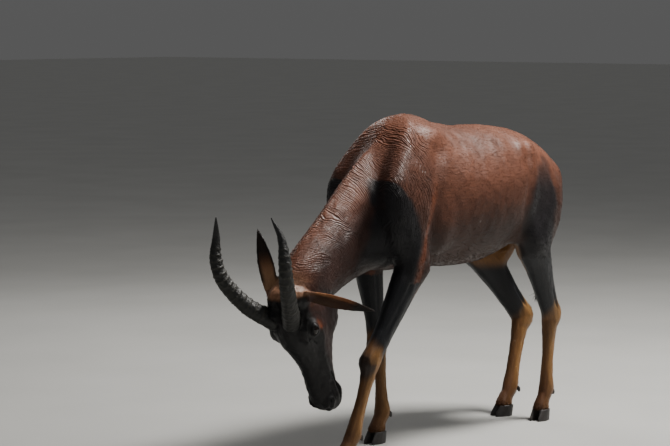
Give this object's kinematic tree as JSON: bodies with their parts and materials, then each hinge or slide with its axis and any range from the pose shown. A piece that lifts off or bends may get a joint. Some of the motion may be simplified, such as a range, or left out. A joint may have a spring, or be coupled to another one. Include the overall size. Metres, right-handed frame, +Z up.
{
  "type": "topi antelope",
  "caption": "Life-size still model of a topi antelope that stands with lowered head to graze, with ringed horns, cloven hooves and a short glossy coat.",
  "frame": {"origin": "middle of the bounding box's footprint, on the floor", "axes": "+X towards the tail, so the head is towards -X; +Y towards the animal's right side; +Z up"},
  "size_m": [1.864, 0.4724, 1.2223],
  "materials": {
    "coat": "short, flat, glossy red-brown hair with slate-black face, shoulders and thighs and tan lower legs",
    "horn": "ringed grey-black horn, worn paler on the rings and smooth at the tips",
    "hoof": "dark horn with fine growth lines, dusty at the sole edge",
    "eye": "wet dark brown eye"
  },
  "bodies": {
    "root": {"trunk": "coat", "neck": "coat", "head": "coat", "ear_left": "coat", "ear_right": "coat", "tail": "coat", "foreleg_left": "coat", "foreleg_right": "coat", "hindleg_left": "coat", "hindleg_right": "coat", "horn_left": "horn", "horn_right": "horn", "eye_left": "eye", "eye_right": "eye", "claw_foreleg_left_inner": "hoof", "claw_foreleg_left_outer": "hoof", "claw_foreleg_right_inner": "hoof", "claw_foreleg_right_outer": "hoof", "claw_hindleg_left_inner": "hoof", "claw_hindleg_left_outer": "hoof", "claw_hindleg_right_inner": "hoof", "claw_hindleg_right_outer": "hoof", "dewclaw_foreleg_left_inner": "hoof", "dewclaw_foreleg_left_outer": "hoof", "dewclaw_foreleg_right_inner": "hoof", "dewclaw_foreleg_right_outer": "hoof", "dewclaw_hindleg_left_inner": "hoof", "dewclaw_hindleg_left_outer": "hoof", "dewclaw_hindleg_right_inner": "hoof", "dewclaw_hindleg_right_outer": "hoof"}
  },
  "joints": []
}
